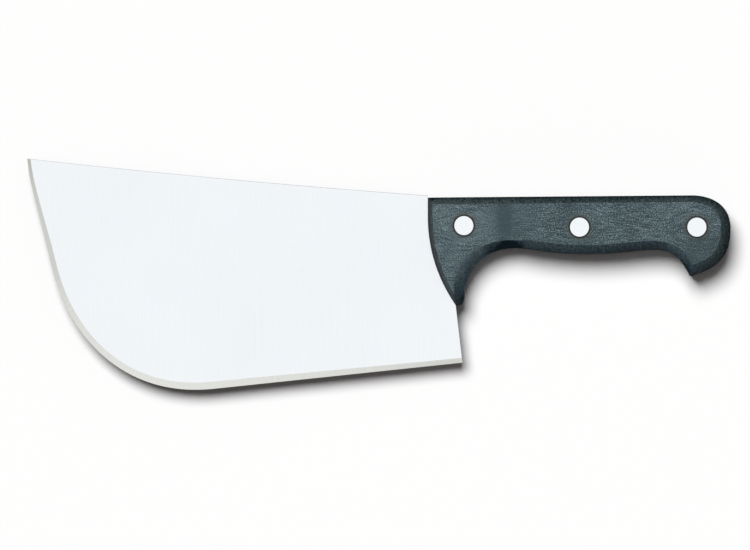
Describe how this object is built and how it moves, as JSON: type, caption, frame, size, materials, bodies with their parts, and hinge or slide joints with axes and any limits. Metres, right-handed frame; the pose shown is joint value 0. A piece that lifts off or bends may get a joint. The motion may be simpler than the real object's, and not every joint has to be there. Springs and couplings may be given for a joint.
{
  "type": "butcher's cleaver",
  "caption": "Broad full-tang butcher's cleaver with a round-bellied cutting edge and a dark two-scale handle held by flush rivets, for chopping meat.",
  "frame": {"origin": "centre of the bounding box, at its lowest face, which is the outer face of the right scale", "axes": "+X from the tip to the butt, +Y from the cutting edge to the spine, +Z out of the left side of the blade; the cleaver lies on its right side"},
  "size_m": [0.3228, 0.1062, 0.02],
  "materials": {
    "blade_steel": "satin",
    "handle_acetal": "sanded satin",
    "rivet_steel": "ground flush"
  },
  "bodies": {
    "root": {"blade": "blade_steel", "left_scale": "handle_acetal", "right_scale": "handle_acetal", "front_rivet_pin": "rivet_steel", "front_rivet_tube": "rivet_steel", "middle_rivet_pin": "rivet_steel", "middle_rivet_tube": "rivet_steel", "rear_rivet_pin": "rivet_steel", "rear_rivet_tube": "rivet_steel"}
  },
  "joints": []
}
